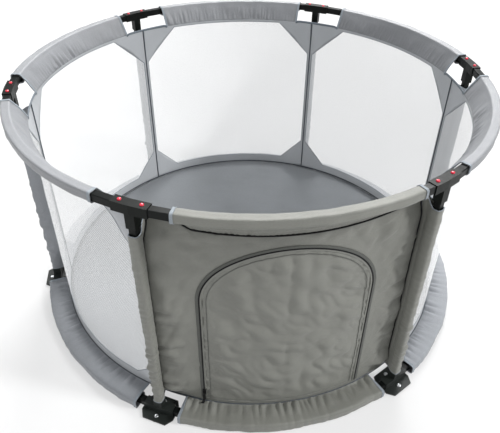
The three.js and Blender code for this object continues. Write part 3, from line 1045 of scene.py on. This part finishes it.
def sleeve_line():
    """Half of the sleeve's section: how far to the side, and the radius, from the seam to the outer face."""
    return smooth_line([
        (0, WALL + 0.0017), (0.0026, WALL + 0.012), (0.0048, WALL + 0.023), (0.0094, WALL + 0.0325),
        (0.0114, RING - 0.002), (0.0104, RING + 0.0092), (0.006, RING + 0.0114), (0, RING + 0.0120),
    ], 18)


def sleeve_loop(turn, up):
    """The sleeve's closed section at a share of its height, as points and their places on the cloth."""
    half = sleeve_line()
    loop = half + [(-x, r) for x, r in reversed(half[1:-1])]
    slack = 0.0014 + 0.0040 * (1 - fade((up - 0.15) / 0.6))
    row = []
    run = 0.0
    for i, (x, radius) in enumerate(loop):
        if i:
            run += math.dist(loop[i], loop[i - 1])
        out = (radius - WALL) / (RING - WALL)
        top = SLEEVE_TOP + 0.021 * (1 - fade(out))
        height = SLEEVE_FOOT + (top - SLEEVE_FOOT) * up
        tight = fade(up / 0.03) * fade((1 - up) / 0.03)
        creased = slack * (abs(ripple(run * 12, height * 62, turn)) * 2 - 0.5)
        wrinkle = (creased + 0.0020 * ripple(run * 9, height * 12, turn + 3)) * (0.25 + 0.75 * tight)
        wrinkle *= fade(out / 0.35)
        swollen = 1 + max(wrinkle, -0.0012) / 0.014
        radius += drawn_out(turn, height) * max(1 - out * 1.4, 0)
        row.append((at(turn + x * swollen / radius, WALL + (radius - WALL) * (1 + wrinkle / 0.08), height),
                    (run, height)))
    return row


def post_sleeve(post, turn):
    rows = [sleeve_loop(turn, up) for up in steps(0, 1, 150)]
    # The two front posts' sleeves take the darker copy of the cloth, which is painted shade.
    cloth = SHADED_WARM_GREY if "front" in post else COOL_GREY
    return sheet_from_rows(f"post_cloth_{post}", rows, cloth, closed=True)


for post, degrees in POSTS.items():
    turn = math.radians(degrees)
    sleeve = sew_on(post_sleeve(post, turn), replaced=[f"post_sleeve_{post}"])
    rims = []
    for end, up in (("foot", 0.0), ("top", 1.0)):
        path = [point for point, _ in sleeve_loop(turn, up)]
        rim = round_tube(f"sleeve_rim_{post}_{end}", path, 0.0012, BINDING, (0, 0, 1), closed=True)
        rims.append(sew_on(rim))
    seam_path = [at(turn, WALL - 0.0014 + 0.0004 * ripple(z * 9, turn) + drawn_out(turn, z), z)
                 for z in steps(WALL_FOOT + 0.001, FREE_TOP - 0.002, 80)]
    piping = sew_on(round_tube(f"corner_piping_{post}", seam_path, 0.0019, PIPING, outward))
    for name, aside in (("left", -0.0034), ("right", 0.0034)):
        beside_wall = [at(turn + aside / WALL, WALL + 0.0018 + drawn_out(turn, z), z)
                       for z in steps(SLEEVE_FOOT, SLEEVE_TOP + 0.02, 80)]
        thread = ZIP_BLACK if "front" in post else PIPING
        sew_on(round_tube(f"sleeve_seam_{post}_{name}", beside_wall, 0.0011, thread, outward))
    loop = [point for point, _ in sleeve_loop(turn, 0.5)]
    girth = line_length([*loop, loop[0]])
print("post sleeves:", len(POSTS))

# %% [markdown]
# ## Free edges beside the posts
# Between a rim sleeve's cut end and the next one the wall's top edge is free, and it is bound with dark tape.
# The tape is a flattened cord that sits over the edge.

# %% free edges
def free_edge(post, degrees):
    turn = math.radians(degrees)
    names = list(SIDES)
    before = next(n for n in names if (SIDES[n][0] + 30) % 360 == degrees % 360)
    after = next(n for n in names if (SIDES[n][0] - 30) % 360 == degrees % 360)
    reach_left = SIDES[before][2] + 0.004
    reach_right = SIDES[after][1] + 0.004
    path = []
    for along in steps(-reach_left, reach_right, 60):
        side = before if along < 0 else after
        local = along + HALF_SIDE if along < 0 else along - HALF_SIDE
        height = hem_height(side, local)
        path.append(at(turn + along / RING, WALL, height - 0.003))
    return round_tube(f"free_edge_{post}", path, 0.0040, SLATE, outward, flatten=0.45)


for post, degrees in POSTS.items():
    sew_on(free_edge(post, degrees))
print("free edges bound")

# %% [markdown]
# ## The floor cloth
# The floor is one round cloth, sewn to the walls all the way round with a dark piping. It is laid out as
# rings, and soft noise keeps it from being perfectly flat.

# %% floor cloth
MAT_EDGE = WALL - 0.0035


def floor_cloth():
    rows = []
    for share in steps(0.0, 1.0, 60):
        row = []
        radius = MAT_EDGE * max(share, 0.0002)
        for turn in steps(0, 2 * math.pi, 180)[:-1]:
            x, y = radius * math.sin(turn), -radius * math.cos(turn)
            swell = 0.0018 * ripple(x * 5, y * 5, 3) + 0.0006 * ripple(x * 22, y * 22, 8)
            row.append((Vector((x, y, MAT_Z - 0.0012 + swell * fade((1 - share) / 0.1))), (x, y)))
        rows.append(row)
    return sheet_from_rows("floor_cloth", rows, FLOOR_GREY, thick=0.002, closed=True)


mat = sew_on(floor_cloth(), ["floor_mat"])
ring_path = [at(turn, WALL - 0.0022, WALL_FOOT + 0.0008) for turn in steps(0, 2 * math.pi, 240)[:-1]]
foot_piping = round_tube("floor_piping", ring_path, 0.0020, PIPING, (0, 0, 1), closed=True)
sew_on(foot_piping)
print(f"floor cloth: {2 * MAT_EDGE:.3f} m across")

# %% [markdown]
# ## Buttons, screws and the hard frame
# The press buttons and the screw heads are turned shapes, so each is a profile spun about its own axis. The
# tubes and the moulded connectors of the frame are right as they are. They only need softer edges, which a
# Bevel modifier gives, and their finishes.

# %% buttons, screws and hard frame
def spun(name, place, profile, material, turns=32):
    """A profile of (radius, height) pairs, spun about an upright axis at a place."""
    points, faces = [], []
    for radius, height in profile:
        for k in range(turns):
            angle = 2 * math.pi * k / turns
            points.append(place + Vector((radius * math.cos(angle), radius * math.sin(angle), height)))
    for i in range(len(profile) - 1):
        for k in range(turns):
            m = (k + 1) % turns
            faces.append((i * turns + k, i * turns + m, (i + 1) * turns + m, (i + 1) * turns + k))
    faces.append(tuple(reversed(range(turns))))
    faces.append(tuple(range((len(profile) - 1) * turns, len(profile) * turns)))
    return mesh_piece(name, points, faces, [(p.x, p.y) for p in points], material)


def dome(radius, start, top, count=8):
    return [(radius * math.cos(a), start + (top - start) * math.sin(a))
            for a in steps(0, math.pi / 2 - 0.02, count)]


BUTTON_RADIUS = 0.0043
for node in [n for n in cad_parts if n.startswith("button_")]:
    low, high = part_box(node)
    centre = Vector(((low[0] + high[0]) / 2, (low[1] + high[1]) / 2, 0))
    flange = max(high[0] - low[0], high[1] - low[1]) / 2
    profile = [(flange, low[2]), (flange, low[2] + 0.0008), (BUTTON_RADIUS, low[2] + 0.0009),
               *dome(BUTTON_RADIUS, high[2] - 0.0026, high[2])]
    button = spun(node.replace("button", "red_button"), centre, profile, RED_PLASTIC)
    sew_on(button, [node], body=node)


def screw_head(name, place):
    profile = [(0.0058, 0.0000), (0.0058, 0.0008), (0.0050, 0.0019), (0.0032, 0.0024), (0.0027, 0.0023),
               (0.0024, 0.0010), (0.0004, 0.0008)]
    return spun(name, place, profile, BRIGHT_ZINC)


SCREW_REACH = 0.023
for post, degrees in POSTS.items():
    for k, reach in enumerate((-SCREW_REACH, SCREW_REACH)):
        place = at(math.radians(degrees), RING + reach, PLATE_TOP)
        sew_on(screw_head(f"foot_screw_{post}_{k + 1}", place))

FINISHES = {"top_tee": BLACK_PLASTIC, "base_foot": LIGHTENED_FOOT_PLASTIC, "post": BLACK_TUBE, "top_rail": BLACK_TUBE,
            "bottom_rail": BLACK_TUBE, "zip_slider": DARK_METAL, "zip_pull": DARK_METAL}
for name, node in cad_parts.items():
    kind = next((k for k in FINISHES if name.startswith(k)), None)
    if kind is None or node.hide_render:
        continue
    for holder in node.material_slots:
        holder.material = FINISHES[kind]
    weld = node.modifiers.new("weld", "WELD")
    weld.merge_threshold = 0.00002
    bevel = node.modifiers.new("soft_edges", "BEVEL")
    bevel.width = 0.0006 if kind.startswith("zip") else 0.0010
    bevel.segments = 2
    bevel.limit_method = "ANGLE"
    bevel.angle_limit = math.radians(35)
    bevel.harden_normals = True
print("hard frame finished")
